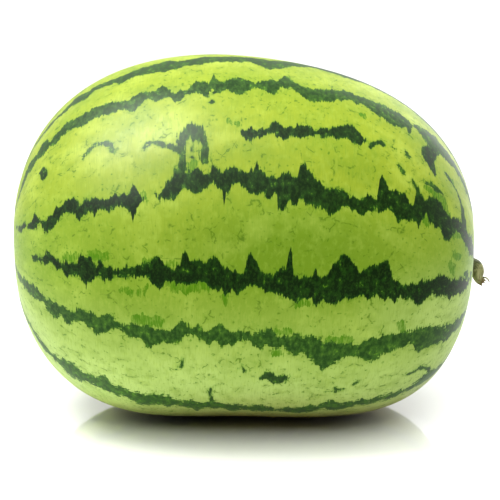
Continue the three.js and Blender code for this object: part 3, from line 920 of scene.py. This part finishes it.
def makeDryStem():
    # Dried vine: a ribbed stalk that has begun to shrink and go woody. Its strands stand out as fine
    # ridges along it, and the cut end is darker, with a paler pith.
    material, tree = startMaterial("driedVineStem")
    look = stemLook
    colour = {name: hexColour(value) for name, value in look.items() if isinstance(value, str)}
    wound = addNode(tree, "Attribute", {"attribute_name": "wound"}, output="Vector")
    along = addNode(tree, "Attribute", {"attribute_name": "along"}, output="Fac")
    follow = {"cut": addNode(tree, "Attribute", {"attribute_name": "cut"}, output="Fac")}
    scale = (1 / look["strandLength"], 1 / look["strandWidth"], 1 / look["strandWidth"])
    strandPlace = addNode(tree, "Mapping", {"Vector": wound, "Scale": scale})
    strand = addNode(tree, "TexNoise", {"Vector": strandPlace, "Scale": 1.0, "Detail": 3.0})
    blotch = addNode(tree, "TexNoise", {"Vector": wound, "Scale": 1 / look["blotchSize"], "Detail": 3.0})
    drift = addNode(tree, "MapRange", {"Value": blotch, "From Min": 0.3, "From Max": 0.7,
                                       "To Min": -look["blotchDrift"], "To Max": look["blotchDrift"]})
    follow["place"] = addNode(tree, "Math", {"operation": "ADD", 0: along, 1: drift})
    follow["strand"] = strand
    surface = colour["skin"]
    for tint, (followed, start, full, most) in stemShares.items():
        shown = addNode(tree, "MapRange", {"Value": follow[followed], "From Min": start, "From Max": full,
                                           "To Max": most})
        surface = addNode(tree, "Mix", {"data_type": "RGBA", 0: shown, 6: surface, 7: colour[tint]})
    bump = addNode(tree, "Bump", {"Height": strand, "Strength": look["bumpStrength"],
                                  "Distance": look["bumpHeight"]})
    shader = addNode(tree, "BsdfPrincipled", {"Base Color": surface, "Normal": bump, "IOR": look["ior"],
                                              "Roughness": look["roughness"]})
    addNode(tree, "OutputMaterial", {"Surface": shader})
    return material


def ribbedSection(turn, share):
    # ribs that twist along it, strands between them that wander, and a crease where it bends
    form = stemForm
    rib = form["ribHeight"] * np.cos(form["ribs"] * (turn + form["twist"] * share))
    (coarseCount, coarseHeight), (fineCount, fineHeight) = form["coarseStrands"], form["fineStrands"]
    strand = coarseHeight * np.cos(coarseCount * turn + 3 * np.sin(9 * share))
    strand = strand + fineHeight * np.cos(fineCount * turn - 5 * share)
    near = np.exp(-((share - form["creasePlace"]) / form["creaseWidth"]) ** 2)
    crease = form["creaseDepth"] * near * np.cos(turn - form["creaseTurn"])
    return 1 + rib + strand - crease


def raggedEnd(turn, shrink):
    # torn strands stand up round the cut, and its pith has shrunk back
    ragged = stemForm["cutRagged"] * (np.sin(5 * turn + 0.6) + 0.6 * np.sin(11 * turn))
    return ragged * shrink - stemForm["pithDepth"] * (1 - shrink)


def roundSection(turn, share):
    return 1 + fibreMesh["flutes"] * np.cos(3 * turn + 6 * share)


def bluntEnd(turn, shrink):
    return np.full(turn.shape, fibreMesh["blunt"] * (1 - shrink))


stem = growStem("cutStem", stemForm["path"], stemForm["radii"], stemForm["ringCount"], stemForm["sideCount"],
                ribbedSection, raggedEnd)
dryStem = makeDryStem()
pieces = [stem]
for name, form in fibreForm.items():
    pieces.append(growStem(name + "Fibre", form["path"], form["radii"], fibreMesh["ringCount"],
                           fibreMesh["sideCount"], roundSection, bluntEnd))
for piece in pieces:
    piece.data.materials.append(dryStem)
    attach(piece, "root")
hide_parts("stem")
print("stem grown")


# Floor, light and camera
studio = {
    "floorLow": (-4.0, -0.42),        # the sheet ends a little in front of the fruit
    "floorHigh": (4.0, 7.0),
    "floor": "#F4F4F2",
    "floorRoughness": 0.05,
    "floorIor": 1.49,
    "floorPolish": 1.65,              # index of the polished face, which mirrors the underside
    "tentTilt": (0, 0.88, 0.47),      # a white tent stands round the fruit: the way in from its opening
    "openingDark": 0.02,
    "tentLight": (1.2, -0.4, 0.2),    # its brightness, and how far in it begins and is full
    "tentShine": (1.1, -0.1, 0.55),   # the same for what surfaces mirror of it
    "cameraElevation": 12,            # degrees
    "cameraDistance": 1.2,
    "cameraLens": 132.4,
    "aim": (0.0039, 0.0, 0.106),
}
# Soft lamps: the way towards each from the fruit, its distance, side and power, whether it lights
# surfaces, and whether it shows in their shine
lamps = {
    "softbox": {"towards": (-0.47, -0.05, 0.88), "distance": 1.6, "size": 0.8, "power": 26,
                "lights": True, "reflects": False},
    "wideFill": {"towards": (0, -0.5, 1), "distance": 2.2, "size": 2.4, "power": 80,
                 "lights": True, "reflects": False},
    "sheenBox": {"towards": (-0.475, -0.16, 0.84), "distance": 1.6, "size": 1.0, "power": 385,
                 "lights": False, "reflects": True},
    "backGlow": {"towards": (0.6, 0.78, 0.3), "distance": 1.6, "size": 1.2, "power": 15,
                 "lights": True, "reflects": True},
}


def makeFloor():
    (left, front), (right, back) = studio["floorLow"], studio["floorHigh"]
    mesh = bpy.data.meshes.new("studioFloor")
    corners = [(left, front, 0), (right, front, 0), (right, back, 0), (left, back, 0)]
    mesh.from_pydata(corners, [], [(0, 1, 2, 3)])
    floor = showObject("studioFloor", mesh)
    # Acrylic sheet, cast white and polished: an even white that mirrors what stands on it
    material, tree = startMaterial("whiteAcrylicSheet")
    shader = addNode(tree, "BsdfPrincipled", {
        "Base Color": hexColour(studio["floor"]), "IOR": studio["floorIor"],
        "Roughness": studio["floorRoughness"], "Coat Weight": 1.0,
        "Coat Roughness": studio["floorRoughness"], "Coat IOR": studio["floorPolish"]})
    addNode(tree, "OutputMaterial", {"Surface": shader})
    mesh.materials.append(material)


def makeLight():
    world = bpy.data.worlds.new("studio")
    world.use_nodes = True
    tree = world.node_tree
    tree.nodes.clear()
    direction = addNode(tree, "TexCoord", {}, output="Generated")
    inwards = addNode(tree, "VectorMath", {"operation": "DOT_PRODUCT", 0: direction, 1: studio["tentTilt"]},
                      output="Value")
    tent = []
    for brightness, start, full in (studio["tentLight"], studio["tentShine"]):
        tent.append(addNode(tree, "MapRange", {
            "Value": inwards, "interpolation_type": "SMOOTHSTEP", "From Min": start, "From Max": full,
            "To Min": studio["openingDark"], "To Max": brightness}))
    mirrored = addNode(tree, "LightPath", {}, output="Is Glossy Ray")
    seen = addNode(tree, "LightPath", {}, output="Is Camera Ray")
    strength = addNode(tree, "Mix", {"data_type": "FLOAT", 0: mirrored, 2: tent[0], 3: tent[1]})
    strength = addNode(tree, "Math", {"operation": "MAXIMUM", 0: strength, 1: seen})
    background = addNode(tree, "Background", {"Color": (1, 1, 1, 1), "Strength": strength})
    addNode(tree, "OutputWorld", {"Surface": background})
    bpy.context.scene.world = world

    for name, form in lamps.items():
        lamp = bpy.data.lights.new(name, "AREA")
        lamp.shape = "SQUARE"
        lamp.size = form["size"]
        lamp.energy = form["power"]
        holder = showObject(name, lamp)
        wayToLamp = Vector(form["towards"]).normalized()
        holder.location = Vector((0, 0, axisHeight)) + wayToLamp * form["distance"]
        holder.rotation_euler = wayToLamp.to_track_quat("Z", "Y").to_euler()
        holder.visible_diffuse = form["lights"]
        holder.visible_glossy = form["reflects"]


def makeCamera():
    lens = bpy.data.cameras.new("camera")
    lens.lens = studio["cameraLens"]
    lens.clip_start = 0.05
    lens.clip_end = 50
    camera = showObject("camera", lens)
    rise = math.radians(studio["cameraElevation"])
    camera.location = Vector((0, -math.cos(rise), math.sin(rise))) * studio["cameraDistance"]
    camera.location.z += axisHeight
    look = Vector(studio["aim"]) - camera.location
    camera.rotation_euler = look.to_track_quat("-Z", "Y").to_euler()
    bpy.context.scene.camera = camera


makeFloor()
makeLight()
makeCamera()
bpy.context.scene.view_settings.view_transform = "Standard"
print("studio set")

bpy.context.view_layer.update()
